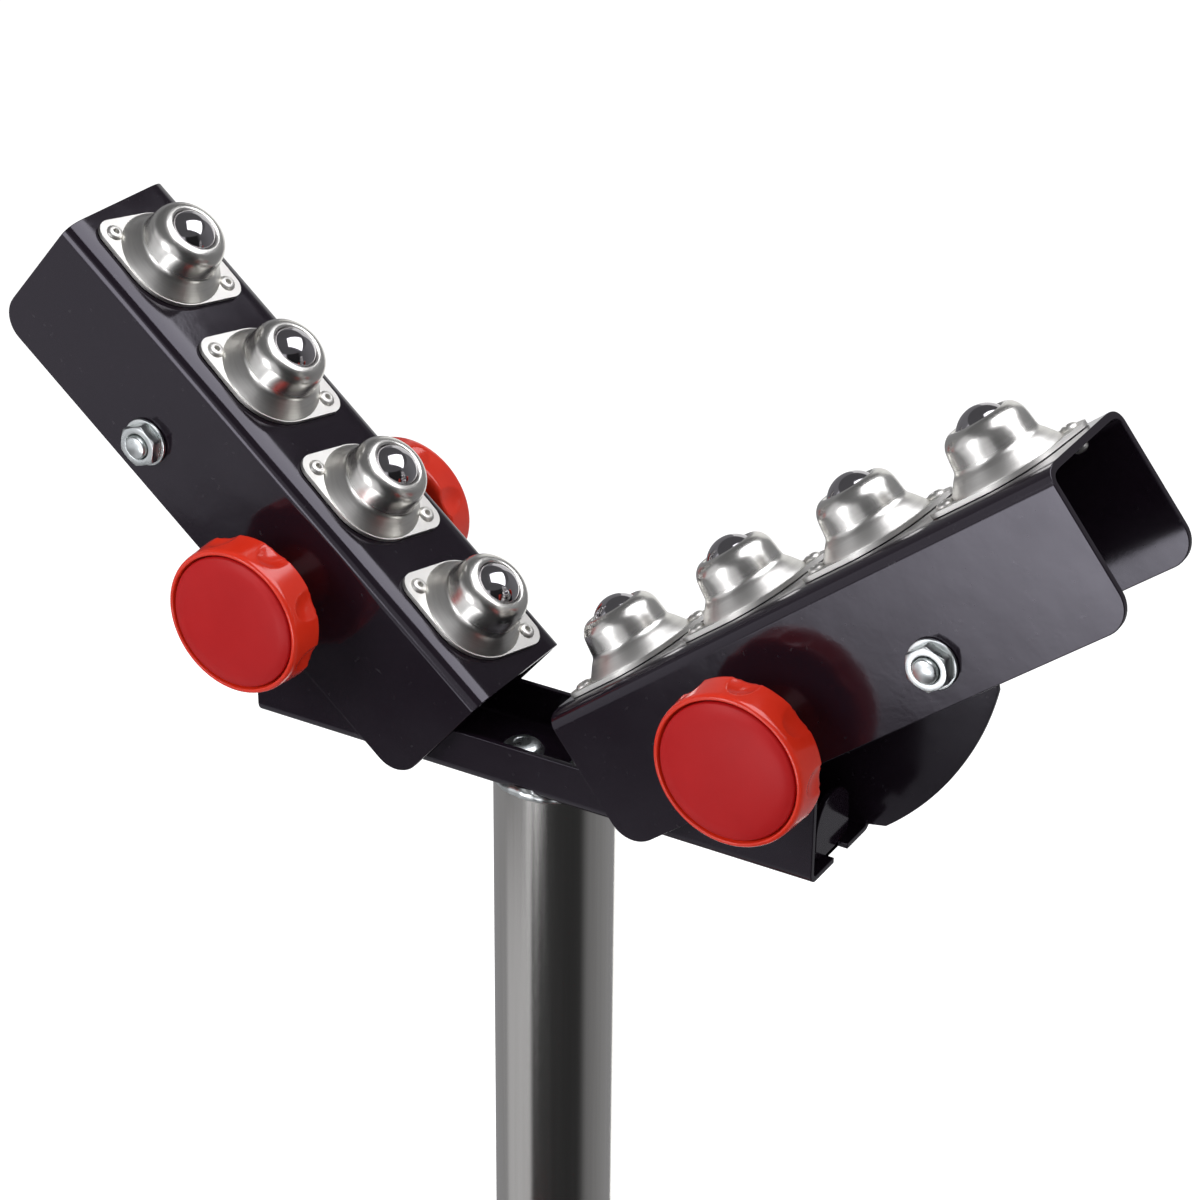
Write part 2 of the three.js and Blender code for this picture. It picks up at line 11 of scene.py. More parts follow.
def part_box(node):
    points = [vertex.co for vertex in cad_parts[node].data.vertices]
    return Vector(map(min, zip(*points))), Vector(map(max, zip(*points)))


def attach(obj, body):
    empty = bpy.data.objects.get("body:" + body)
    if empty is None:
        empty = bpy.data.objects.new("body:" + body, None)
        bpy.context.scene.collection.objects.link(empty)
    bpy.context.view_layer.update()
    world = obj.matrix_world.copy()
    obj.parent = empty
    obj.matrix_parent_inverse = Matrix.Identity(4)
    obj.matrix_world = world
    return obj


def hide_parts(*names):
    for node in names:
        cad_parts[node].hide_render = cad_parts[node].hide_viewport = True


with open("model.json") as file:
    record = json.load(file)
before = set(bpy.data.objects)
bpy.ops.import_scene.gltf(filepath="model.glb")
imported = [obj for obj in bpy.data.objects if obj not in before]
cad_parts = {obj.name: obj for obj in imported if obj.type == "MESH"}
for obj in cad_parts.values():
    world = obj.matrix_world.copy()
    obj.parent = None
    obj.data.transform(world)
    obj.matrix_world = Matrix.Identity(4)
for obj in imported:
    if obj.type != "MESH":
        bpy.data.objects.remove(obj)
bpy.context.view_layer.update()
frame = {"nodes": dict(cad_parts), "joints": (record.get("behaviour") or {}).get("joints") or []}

MM = 0.001
SIDES = ("left", "right")
ENDS = {"front": -1, "back": 1}
UNITS = (1, 2, 3, 4)

# Photograph's view
CAMERA_PLACE = (0.5697, -0.9421, 1.3504)
CAMERA_YAW = 30.2562
CAMERA_PITCH = 27.5449
CAMERA_ROLL = 0.5717
CAMERA_LENS = 95.12
CAMERA_SENSOR = 36

# Roller arms
ARM_LENGTH = 250 * MM
ARM_HALF = 31.5 * MM
ARM_HEIGHT = 61.2 * MM
ARM_SHEET = 3 * MM
ARM_BEND = 6.5 * MM
ARM_EASE = 8 * MM
ARM_EASE_TURN = 26
ARM_CORNER = 12 * MM
ARM_EDGE = 0.4 * MM
PIVOT_FROM_END = 88.6 * MM
PIVOT_DROP = 42.8 * MM
TIE_FROM_PIVOT = 81 * MM
TIE_DROP = 1.5 * MM
SEAT_GAP = 0.3 * MM

# Ball units
BALL_RADIUS = 11.1 * MM
FLANGE_RADIUS = 22.8 * MM
FLANGE_SHEET = 1.8 * MM
FLANGE_EDGE = 0.45 * MM
LUG_RADIUS = 6.5 * MM
RIVET_REACH = 25.4 * MM
RIVET_ANGLE = 38.1
RIVET_HEAD = 3.5 * MM
RIVET_HOLE = 1.15 * MM
RIVET_SHANK = 2.4 * MM
RIVET_TAIL = 4 * MM

# Bracket
PIVOT_X = 110.7 * MM
PIVOT_RISE = 63.85 * MM
BRACKET_HALF = 25.4 * MM
BRACKET_SHEET = 2.5 * MM
BRACKET_BEND = 4.5 * MM
BRACKET_EDGE = 0.35 * MM
EAR_RADIUS = 17.8 * MM
EAR_TURN = 135
WALL_HEIGHT = 20 * MM
WING_RADIUS = 120.5 * MM
WING_CENTRE = (60 * MM, 97 * MM)
WING_TOP = 34 * MM
WING_TRIM = 69 * MM
NOTCH_HALF = 5.75 * MM
NOTCH_DEPTH = 4 * MM
TONGUE_RADIUS = 14 * MM
TONGUE_HEIGHT = 28 * MM
TONGUE_EASE = 2 * MM
BRACKET_END = PIVOT_X + EAR_RADIUS

# Knobs
KNOB_RADIUS = 31.5 * MM
KNOB_DEPTH = 31.7 * MM
KNOB_HUB = 13 * MM
KNOB_HUB_LENGTH = 15.5 * MM
KNOB_SWELL = 0.2 * MM
KNOB_DRAFT = 0.8 * MM
KNOB_LIP = 28.9 * MM
KNOB_SHARP = 50
KNOB_SCALLOPS = 8
KNOB_ROUND = 36 * KNOB_SCALLOPS
KNOB_SIDE_STEPS = 24
SCALLOP_DEPTH = 2 * MM
SCALLOP_HALF_WIDTH = 6 * MM
SCALLOP_HALF_LENGTH = 8.7 * MM
SCALLOP_FROM_BACK = 5 * MM
KNOB_TURN = {"left": 20, "right": 0}
CAP_RADIUS = 27.9 * MM
CAP_CROWN = 2 * MM
CAP_SEAT = 2.4 * MM
PLAIN_FACE_DEPTH = 1.2 * MM

# Fasteners
HEX_ACROSS = 16 * MM
HEX_CORNER = HEX_ACROSS / math.sqrt(3)
HEX_CHAMFER = 30
NUT_WASHER = 10 * MM
NUT_WASHER_HEIGHT = 1.4 * MM
NUT_HEIGHT = 4.8 * MM
BOLT_RADIUS = 5 * MM
BOLT_HEAD_HEIGHT = 6.4 * MM
BOLT_PROUD = 1.5 * MM
SPACER_RADIUS = 8 * MM
HEAD_BOLT_X = 15.5 * MM
HEAD_BOLT_RADIUS = 9 * MM
HEAD_BOLT_RISE = 5 * MM
HEAD_BOLT_LENGTH = 11 * MM

# Post, column and base
POST_RADIUS = 25 * MM
POST_WALL = 3 * MM
WELD_SHARP = 60
COLUMN_RADIUS = 30 * MM
COLUMN_WALL = 2 * MM
COLUMN_EDGE = 0.5 * MM
CLAMP_HEIGHT = 405 * MM
CLAMP_BOSS = 12 * MM
CLAMP_BOSS_LENGTH = 14 * MM
CLAMP_BOSS_ROOT = 3 * MM
CLAMP_SCREW_SHOW = 6 * MM
CLAMP_REACH = COLUMN_RADIUS + CLAMP_BOSS_LENGTH
CLAMP_SCREW_LENGTH = CLAMP_REACH + CLAMP_SCREW_SHOW - POST_RADIUS - SEAT_GAP
BEAM_WIDTH = 50 * MM
BEAM_HEIGHT = 30 * MM
BEAM_CORNER = 4 * MM
BEAM_EDGE = 0.8 * MM
BEAM_REACH = 365 * MM
BEAM_TURN = 45
FOOT_HEIGHT = 20 * MM
FOOT_PAD = 24 * MM
FOOT_STEM = 11 * MM

# Studio: what the lights aim at, their places and strengths
HEAD = Vector((0, 0, 0.8))
FLOOR_HALF = 8
FLOOR_COLOUR = (0.9, 0.9, 0.9, 1)
FLOOR_GLOW = 0.62
WORLD_LIGHT = 0.45
KEY_PLACE = (0.72, 0.32, 2.19)
KEY_SIZE = 1.5
KEY_POWER = 16
FILL_PLACE = (-0.9, -1.7, 1.5)
FILL_SIZE = 1
FILL_POWER = 20
SOFTBOX_AWAY = 1.55
SOFTBOX_CORNERS = ((-0.17, 0.05, 0.98), (0.16, 0.72, 0.68), (0.86, 0.2, 0.47), (0.24, -0.4, 0.88))
SOFTBOX_GLOW = 4.5
FRONT_LIGHT = (-0.62, -1.9, 1.08)
FRONT_LIGHT_SIZE = 0.8
FRONT_LIGHT_GLOW = 5

# Studio cards: sizes, then strengths, then directions seen from above in degrees
ROOF = 2.6
CARD_INNER = 0.07
CARD_OUTER = 3.5
CARD_LIFT = 0.004
CARD_STEPS = 12
CARD_COLOUR = (0.95, 0.95, 1, 1)
FRONT_FADE = (1, 1.3)
FAR_FLOOR_START = 1.73
PATCH_SPOT = (-0.22, -1.98, 0.008)
PATCH_CORE = 0.1
PATCH_RADIUS = 0.8
PATCH_INNER = 1.36
PATCH_OUTER = 2.7
ROOF_CARD = 0.14
CAMERA_CARD = 0.028
RIGHT_CARD_START = 0.17
RIGHT_CARD = 0.27
BACK_CARD = 0.28
FRONT_CARD = 0.08
FRONT_FLOOR = 0.49
FAR_FLOOR = 0.72
FRONT_WALL = 0.75
PATCH_GLOW = 8
CAMERA_FLOOR_FROM = -104
CAMERA_WALL_FROM = -64
TURNING_FROM = -10
RIGHT_FROM = 6
RIGHT_FULL = 60
RIGHT_TO = 91
BACK_FROM = 121
FRONT_FROM = 200
FRONT_FLOOR_TO = 256
FRONT_WALL_TO = 296
PATCH_FROM = 240
PATCH_TO = 288

# Facets, and the angle from which an edge of sheet is eased
ROUND = 96
SMALL_ROUND = 40
ARC_STEPS = 10
BEND_STEPS = 8
EASED_FROM = 40

BRACKET_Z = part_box("base_bracket")[0].z


# Places

def middle(node):
    low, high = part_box(node)
    return (low + high) / 2


def joint_place(name):
    joint = next(j for j in frame["joints"] if j["name"] == name)
    return Vector(joint["pos_m"])


# Pivot at the origin, outer end at +X, top face up.
def arm_place(side):
    along = (middle(f"{side}_ball_4") - middle(f"{side}_ball_1")).normalized()
    across = Vector((0, 1 if side == "right" else -1, 0))
    up = along.cross(across)
    place = Matrix((along, across, up)).transposed().to_4x4()
    place.translation = joint_place(f"{side}_arm_tilt")
    return place


# A flat drawing is stood on edge and faces along +X.
ON_EDGE = Matrix(((0, 0, 1, 0), (1, 0, 0, 0), (0, 1, 0, 0), (0, 0, 0, 1)))


# A part drawn along +Z is turned to point to the front or the back.
def facing(away):
    return Matrix.Rotation(-away * math.pi / 2, 4, "X")


# Meshes

def softened(points, steps=5):
    # A third number rounds a corner, starting that far away from it.
    line = []
    for i, point in enumerate(points):
        corner = Vector(point[:2])
        reach = point[2] if len(point) > 2 else 0
        if not reach:
            line.append((corner.x, corner.y))
            continue
        before = (Vector(points[i - 1][:2]) - corner).normalized() * reach
        after = (Vector(points[(i + 1) % len(points)][:2]) - corner).normalized() * reach
        for k in range(steps + 1):
            t = k / steps
            spot = corner + before * (1 - t) ** 2 + after * t ** 2
            line.append((spot.x, spot.y))
    return line


def arc(centre, radius, start, end, steps=ARC_STEPS):
    angles = [start + (end - start) * k / steps for k in range(steps + 1)]
    return [(centre[0] + radius * math.cos(a), centre[1] + radius * math.sin(a)) for a in angles]


def revolve(bm, rows, segments, shape=None, closed=False):
    rings = []
    for row in rows:
        if row[0] == 0:
            rings.append([bm.verts.new((0, 0, row[1]))])
            continue
        ring = []
        for k in range(segments):
            angle = math.tau * k / segments
            radius = shape(angle, row) if shape else row[0]
            ring.append(bm.verts.new((radius * math.cos(angle), radius * math.sin(angle), row[1])))
        rings.append(ring)
    following = rings[1:] + rings[:1] if closed else rings[1:]
    for low, high in zip(rings, following):
        for k in range(segments):
            n = (k + 1) % segments
            corners = [low[k % len(low)], low[n % len(low)], high[n % len(high)], high[k % len(high)]]
            bm.faces.new(list(dict.fromkeys(corners)))


def prism(bm, outline, low, high, place=None):
    floor = [bm.verts.new((x, y, low)) for x, y in outline]
    roof = [bm.verts.new((x, y, high)) for x, y in outline]
    bm.faces.new(floor[::-1])
    bm.faces.new(roof)
    for k in range(len(outline)):
        n = (k + 1) % len(outline)
        bm.faces.new((floor[k], floor[n], roof[n], roof[k]))
    if place is not None:
        bmesh.ops.transform(bm, matrix=place, verts=floor + roof)


# Section of a bend from the flat to the wall.
def bend_line(half, bend):
    return arc((half - bend, bend), bend, -math.pi / 2, 0, BEND_STEPS)


# Section of a bend that starts gently on the flat.
def eased_line(half, bend, ease, turn):
    lead = math.radians(turn)
    stride = ease / BEND_STEPS
    line = [(0, 0)]
    for k in range(BEND_STEPS):
        lean = lead * ((k + 0.5) / BEND_STEPS) ** 2
        y, z = line[-1]
        line.append((y + stride * math.cos(lean), z + stride * math.sin(lean)))
    y, z = line[-1]
    radius = (bend - z) / math.cos(lead)
    centre = (y - radius * math.sin(lead), bend)
    line += arc(centre, radius, lead - math.pi / 2, 0)[1:]
    shift = half - line[-1][0]
    return [(y + shift, z) for y, z in line]


# Outer face of a folded channel: a flat web at Z 0 and two walls on the given side of it.
def folded(bm, web, walls, half, line, side):
    known = {}

    def spot(x, y, z):
        key = (round(x, 7), round(y, 7), round(z, 7))
        if key not in known:
            known[key] = bm.verts.new(key)
        return known[key]

    ends = (min(x for x, y in web), max(x for x, y in web))
    flat = bm.faces.new([spot(x, y, 0) for x, y in web])
    for sign, outline in walls.items():
        bm.faces.new([spot(x, sign * half, side * h) for x, h in outline])
        for (y0, z0), (y1, z1) in zip(line, line[1:]):
            corners = [(ends[0], y0, z0), (ends[1], y0, z0), (ends[1], y1, z1), (ends[0], y1, z1)]
            bm.faces.new([spot(x, sign * y, side * z) for x, y, z in corners])
    bmesh.ops.recalc_face_normals(bm, faces=bm.faces[:])
    if flat.normal.z * side > 0:
        bmesh.ops.reverse_faces(bm, faces=bm.faces[:])


def mesh_of(name, bm, finish, sharp=35):
    for face in bm.faces:
        face.smooth = True
    for edge in bm.edges:
        edge.smooth = edge.calc_face_angle(0) < math.radians(sharp)
    mesh = bpy.data.meshes.new(name)
    bm.to_mesh(mesh)
    bm.free()
    mesh.materials.append(finish)
    return mesh


def piece(name, mesh, body, place=None, stands_for=()):
    thing = bpy.data.objects.new(name, mesh)
    bpy.context.scene.collection.objects.link(thing)
    if place is not None:
        thing.matrix_world = place
    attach(thing, body)
    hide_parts(*stands_for)
    return thing


# Normals that keep the flats flat.
def sheet_normals(thing):
    normals = thing.modifiers.new("Normals", "WEIGHTED_NORMAL")
    normals.weight = 100
    normals.keep_sharp = True


# Sheet metal gets its thickness, then softened edges.
def sheet_metal(thing, thickness, edge):
    if thickness:
        solid = thing.modifiers.new("Thickness", "SOLIDIFY")
        solid.thickness = thickness
        solid.offset = -1
        solid.use_even_offset = True
    bevel = thing.modifiers.new("Edges", "BEVEL")
    bevel.width = edge
    bevel.segments = 2
    bevel.limit_method = "ANGLE"
    bevel.angle_limit = math.radians(EASED_FROM)
    sheet_normals(thing)


# Materials

def finish_of(name, **sockets):
    material = bpy.data.materials.new(name)
    material.use_nodes = True
    shader = material.node_tree.nodes["Principled BSDF"]
    for socket, value in sockets.items():
        shader.inputs[socket.replace("_", " ")].default_value = value
    return material, shader


def node(material, kind, **values):
    made = material.node_tree.nodes.new(kind)
    for key, value in values.items():
        setattr(made, key, value)
    return made


def link(material, source, target):
    material.node_tree.links.new(source, target)


def coordinates(material, stretch=(1, 1, 1)):
    place = node(material, "ShaderNodeTexCoord")
    mapping = node(material, "ShaderNodeMapping")
    mapping.inputs["Scale"].default_value = stretch
    link(material, place.outputs["Object"], mapping.inputs["Vector"])
    return mapping.outputs["Vector"]


def noise(material, scale, detail=3, stretch=(1, 1, 1)):
    texture = node(material, "ShaderNodeTexNoise")
    texture.inputs["Scale"].default_value = scale
    texture.inputs["Detail"].default_value = detail
    link(material, coordinates(material, stretch), texture.inputs["Vector"])
    return texture.outputs["Fac"]


def ranged(material, source, low, high, start=0.3, end=0.7):
    spread = node(material, "ShaderNodeMapRange")
    for socket, value in zip(("From Min", "From Max", "To Min", "To Max"), (start, end, low, high)):
        spread.inputs[socket].default_value = value
    link(material, source, spread.inputs["Value"])
    return spread.outputs["Result"]


def tinted(material, source, low, high, start=0.3, end=0.7):
    ramp = node(material, "ShaderNodeValToRGB")
    for element, place, colour in zip(ramp.color_ramp.elements, (start, end), (low, high)):
        element.position = place
        element.color = (*colour, 1)
    link(material, source, ramp.inputs["Fac"])
    return ramp.outputs["Color"]


def bumped(material, shader, source, strength, distance):
    bump = node(material, "ShaderNodeBump")
    bump.inputs["Strength"].default_value = strength
    bump.inputs["Distance"].default_value = distance
    link(material, source, bump.inputs["Height"])
    link(material, bump.outputs["Normal"], shader.inputs["Normal"])


# Colour and roughness that follow one pattern.
def patterned(material, shader, source, low, high, roughness):
    link(material, tinted(material, source, low, high), shader.inputs["Base Color"])
    link(material, ranged(material, source, *roughness), shader.inputs["Roughness"])


# Gloss black coat with a faint orange peel, long waves, dust and slight clouding of the gloss.
def paint_finish():
    material, shader = finish_of("gloss_black_coat", Metallic=0, IOR=1.5, Specular_Tint=(0.93, 0.9, 1, 1))
    dust = ranged(material, noise(material, 420, 2), 0, 1, 0.7, 0.76)
    tint = tinted(material, dust, (0.0098, 0.0064, 0.0106), (0.028, 0.025, 0.03), 0, 1)
    link(material, tint, shader.inputs["Base Color"])
    link(material, ranged(material, noise(material, 28, 4), 0.09, 0.16), shader.inputs["Roughness"])
    # The long waves weigh six times as much as the fine peel.
    peel = node(material, "ShaderNodeMath", operation="MULTIPLY_ADD")
    link(material, noise(material, 70, 1), peel.inputs[0])
    peel.inputs[1].default_value = 6
    link(material, noise(material, 500, 2), peel.inputs[2])
    bumped(material, shader, peel.outputs[0], 0.025, 0.0004)
    return material


# Pressed bright steel with faint drawing rings on the body.
def housing_finish():
    material, shader = finish_of("pressed_steel", Metallic=1)
    rings = noise(material, 45, 3, (1, 1, 22))
    tint = tinted(material, rings, (0.62, 0.61, 0.575), (0.7, 0.69, 0.65))
    link(material, tint, shader.inputs["Base Color"])
    height = node(material, "ShaderNodeSeparateXYZ")
    link(material, coordinates(material), height.inputs["Vector"])
    satin = ranged(material, height.outputs["Z"], 0.44, 0.27, 2.5 * MM, 11 * MM)
    link(material, satin, shader.inputs["Roughness"])
    bumped(material, shader, noise(material, 1100, 2), 0.03, 0.0002)
    return material


def ball_finish():
    material, shader = finish_of("polished_ball", Metallic=1)
    smudge = noise(material, 90, 3)
    patterned(material, shader, smudge, (0.4, 0.385, 0.4), (0.46, 0.445, 0.46), (0.06, 0.11))
    return material


def zinc_finish():
    material, shader = finish_of("bright_zinc", Metallic=1)
    cloud = noise(material, 180, 4)
    patterned(material, shader, cloud, (0.66, 0.7, 0.69), (0.78, 0.81, 0.79), (0.26, 0.36))
    bumped(material, shader, noise(material, 900, 2), 0.04, 0.0002)
    return material


def steel_finish():
    material, shader = finish_of("plain_steel", Metallic=1)
    cloud = noise(material, 140, 4)
    patterned(material, shader, cloud, (0.2, 0.2, 0.2), (0.34, 0.33, 0.32), (0.3, 0.45))
    return material


# Satin chrome with fine lines along the tube.
def chrome_finish():
    material, shader = finish_of("satin_chrome", Metallic=1)
    lines = noise(material, 700, 3, (1, 1, 0.01))
    patterned(material, shader, lines, (0.73, 0.715, 0.67), (0.78, 0.765, 0.72), (0.17, 0.2))
    bumped(material, shader, lines, 0.008, 0.0002)
    return material


def rim_finish():
    material, shader = finish_of("gloss_red_plastic", Metallic=0, IOR=1.5)
    cloud = noise(material, 60, 3)
    patterned(material, shader, cloud, (0.66, 0.026, 0.01), (0.72, 0.034, 0.013), (0.14, 0.2))
    bumped(material, shader, noise(material, 1500, 2), 0.03, 0.0002)
    return material


def cap_finish():
    material, shader = finish_of("satin_red_plastic", Metallic=0, IOR=1.5, Specular_IOR_Level=0.15)
    cloud = noise(material, 50, 3)
    patterned(material, shader, cloud, (0.42, 0.0075, 0.009), (0.46, 0.0095, 0.011), (0.31, 0.36))
    bumped(material, shader, noise(material, 2200, 2), 0.08, 0.0002)
    return material


def dull_finish(name, low, high, roughness):
    material, shader = finish_of(name, Metallic=0, IOR=1.5)
    cloud = noise(material, 120, 4)
    patterned(material, shader, cloud, low, high, (roughness - 0.08, roughness + 0.08))
    bumped(material, shader, noise(material, 1400, 3), 0.15, 0.0003)
    return material


paint = paint_finish()
pressed = housing_finish()
polished = ball_finish()
zinc = zinc_finish()
steel = steel_finish()
chrome = chrome_finish()
rim_red = rim_finish()
cap_red = cap_finish()
nylon = dull_finish("black_nylon", (0.018, 0.018, 0.019), (0.03, 0.03, 0.031), 0.5)
rubber = dull_finish("black_rubber", (0.008, 0.008, 0.009), (0.018, 0.018, 0.018), 0.75)


# Roller arms

def arm_mesh():
    inner = -PIVOT_FROM_END
    outer = inner + ARM_LENGTH
    wall = [(inner, ARM_BEND)]
    wall += arc((inner + ARM_CORNER, ARM_HEIGHT - ARM_CORNER), ARM_CORNER, math.pi, math.pi / 2)
    wall += arc((outer - ARM_CORNER, ARM_HEIGHT - ARM_CORNER), ARM_CORNER, math.pi / 2, 0)
    wall.append((outer, ARM_BEND))
    bend = eased_line(ARM_HALF, ARM_BEND, ARM_EASE, ARM_EASE_TURN)
    flat = bend[0][0]
    web = [(inner, -flat), (outer, -flat), (outer, flat), (inner, flat)]
    bm = bmesh.new()
    folded(bm, web, {-1: wall, 1: wall}, ARM_HALF, bend, -1)
    return mesh_of("channel", bm, paint)


def add_arms():
    mesh = arm_mesh()
    lift = Matrix.Translation((0, 0, PIVOT_DROP))
    for side in SIDES:
        body = f"{side}_roller_arm"
        arm = piece(f"{side}_channel", mesh, body, arm_place(side) @ lift, [f"{side}_arm"])
        sheet_metal(arm, ARM_SHEET, ARM_EDGE)


# Ball units

def flange_outline():
    lean = math.acos((FLANGE_RADIUS - LUG_RADIUS) / RIVET_REACH)
    outline = arc((RIVET_REACH, 0), LUG_RADIUS, -lean, lean)
    outline += arc((0, 0), FLANGE_RADIUS, lean, math.pi - lean, 2 * ARC_STEPS)
    outline += arc((-RIVET_REACH, 0), LUG_RADIUS, math.pi - lean, math.pi + lean)
    outline += arc((0, 0), FLANGE_RADIUS, math.pi + lean, math.tau - lean, 2 * ARC_STEPS)
    return outline


def housing_rows():
    top = SEAT_GAP + FLANGE_SHEET
    outside = [
        (22.4 * MM, top - 0.5 * MM),
        (22.3 * MM, top + 0.3 * MM, 0.4 * MM),
        (21.6 * MM, 3.5 * MM, 0.7 * MM),
        (18.7 * MM, 7.4 * MM, 0.9 * MM),
        (17.0 * MM, 9.3 * MM, 1.2 * MM),
        (16.4 * MM, 14.8 * MM, 1.2 * MM),
        (15.9 * MM, 18.0 * MM, 1.4 * MM),
        (14.4 * MM, 20.7 * MM, 1.4 * MM),
        (12.2 * MM, 22.3 * MM, 1.0 * MM),
        (10.3 * MM, 22.5 * MM, 0.6 * MM),
        (9.5 * MM, 21.9 * MM, 0.3 * MM),
        (9.6 * MM, 21.0 * MM),
        (12.6 * MM, 18.8 * MM),
        (15.0 * MM, 14.8 * MM),
        (15.2 * MM, top - 0.5 * MM),
    ]
    return softened(outside, 5)


def rivet_rows():
    flat = SEAT_GAP + FLANGE_SHEET
    tail = -ARM_SHEET - SEAT_GAP
    return [
        (0, tail - RIVET_TAIL),
        (1.6 * MM, tail - RIVET_TAIL),
        (2.8 * MM, tail - 0.8 * RIVET_TAIL),
        (3.2 * MM, tail - 0.5 * RIVET_TAIL),
        (2.9 * MM, tail - 0.2 * RIVET_TAIL),
        (RIVET_SHANK, tail),
        (RIVET_SHANK, flat - 0.2 * MM),
        (RIVET_HEAD, flat - 0.2 * MM),
        (RIVET_HEAD, flat + 0.35 * MM),
        (RIVET_HEAD - 0.3 * MM, flat + 0.9 * MM),
        (RIVET_HEAD - 0.9 * MM, flat + 1.35 * MM),
        (2.0 * MM, flat + 1.55 * MM),
        (RIVET_HOLE + 0.25 * MM, flat + 1.5 * MM),
        (RIVET_HOLE, flat + 1.2 * MM),
        (RIVET_HOLE, flat - 0.4 * MM),
        (0, flat - 0.4 * MM),
    ]


def housing_mesh():
    bm = bmesh.new()
    prism(bm, flange_outline(), SEAT_GAP, SEAT_GAP + FLANGE_SHEET)
    rims = [e for e in bm.edges if e.calc_face_angle(0) > 1]
    bmesh.ops.bevel(bm, geom=rims, offset=FLANGE_EDGE, segments=2, affect="EDGES", profile=0.5)
    revolve(bm, housing_rows(), ROUND, closed=True)
    for reach in (-RIVET_REACH, RIVET_REACH):
        rivet = bmesh.new()
        revolve(rivet, rivet_rows(), SMALL_ROUND)
        loose = bpy.data.meshes.new("rivet")
        rivet.to_mesh(loose)
        rivet.free()
        before = set(bm.verts)
        bm.from_mesh(loose)
        fresh = [v for v in bm.verts if v not in before]
        bmesh.ops.translate(bm, vec=(reach, 0, 0), verts=fresh)
        bpy.data.meshes.remove(loose)
    return mesh_of("housing", bm, pressed)


def ball_mesh():
    bm = bmesh.new()
    bmesh.ops.create_uvsphere(bm, u_segments=64, v_segments=40, radius=BALL_RADIUS)
    return mesh_of("ball", bm, polished)


def add_ball_units():
    housing = housing_mesh()
    ball = ball_mesh()
    turn = Matrix.Rotation(math.radians(RIVET_ANGLE), 4, "Z")
    for side in SIDES:
        place = arm_place(side)
        for i in UNITS:
            centre = place.inverted() @ middle(f"{side}_ball_{i}")
            seat = Matrix.Translation((centre.x, 0, PIVOT_DROP))
            name = f"{side}_ball_unit_{i}"
            body = f"{side}_roller_arm"
            shell = piece(name, housing, body, place @ seat @ turn, [f"{side}_housing_{i}"])
            sheet_normals(shell)
            lift = Matrix.Translation((centre.x, 0, centre.z))
            name = f"{side}_steel_ball_{i}"
            body = f"{side}_roller_{i}"
            piece(name, ball, body, place @ lift, [f"{side}_ball_{i}"])
            frame["nodes"][f"{side}_cup_{i}"].data.materials[0] = steel


# Bracket

def wing_outline():
    pivot = Vector((PIVOT_X, PIVOT_RISE))
    centre = Vector(WING_CENTRE)
    apart = centre - pivot
    lean = math.atan2(apart.y, apart.x)
    share = (WING_TRIM ** 2 - apart.length_squared - WING_RADIUS ** 2) / (2 * WING_RADIUS * apart.length)
    meet = lean - math.acos(share)
    low = -math.asin(centre.y / WING_RADIUS)
    tip = centre + WING_RADIUS * Vector((math.cos(meet), math.sin(meet))) - pivot
    top = math.asin(WING_TOP / WING_TRIM)
    outline = arc(centre, WING_RADIUS, low, meet, 3 * ARC_STEPS)
    outline += arc(pivot, WING_TRIM, math.atan2(tip.y, tip.x), top)[1:]
    outline.append((PIVOT_X, PIVOT_RISE + WING_TOP))
    return outline


def half_wall(winged):
    ear = arc((PIVOT_X, PIVOT_RISE), EAR_RADIUS, 0, math.radians(EAR_TURN), 2 * ARC_STEPS)
    line = [(BRACKET_END, BRACKET_BEND)]
    if winged:
        line.append((BRACKET_END, 0.5 * BRACKET_BEND))
        line += [p for p in wing_outline() if p[1] > 0.5 * BRACKET_BEND]
        ear = [p for p in ear if p[0] < PIVOT_X + 0.01 * MM]
    line += ear
    slope = ear[-1]
    line.append((slope[0] - (slope[1] - WALL_HEIGHT), WALL_HEIGHT))
    return line


def bracket_wall(winged):
    half = half_wall(winged)
    return half + [(-x, z) for x, z in reversed(half)]


def bracket_mesh():
    flat = BRACKET_HALF - BRACKET_BEND
    notch = BRACKET_END - NOTCH_DEPTH
    end = [(BRACKET_END, -flat), (BRACKET_END, -NOTCH_HALF), (notch, -NOTCH_HALF)]
    right = end + [(x, -y) for x, y in reversed(end)]
    web = right + [(-x, -y) for x, y in right]
    bm = bmesh.new()
    bend = bend_line(BRACKET_HALF, BRACKET_BEND)
    folded(bm, web, {-1: bracket_wall(False), 1: bracket_wall(True)}, BRACKET_HALF, bend, 1)
    return mesh_of("bracket", bm, paint)


def tongue_mesh():
    waist = TONGUE_HEIGHT - TONGUE_RADIUS
    outline = [(-NOTCH_HALF, 0), (NOTCH_HALF, 0), (TONGUE_RADIUS, BRACKET_BEND, TONGUE_EASE)]
    outline += arc((0, waist), TONGUE_RADIUS, 0, math.pi, 2 * ARC_STEPS)
    outline.append((-TONGUE_RADIUS, BRACKET_BEND, TONGUE_EASE))
    bm = bmesh.new()
    prism(bm, softened(outline), -BRACKET_SHEET, 0)
    return mesh_of("tongue", bm, paint)


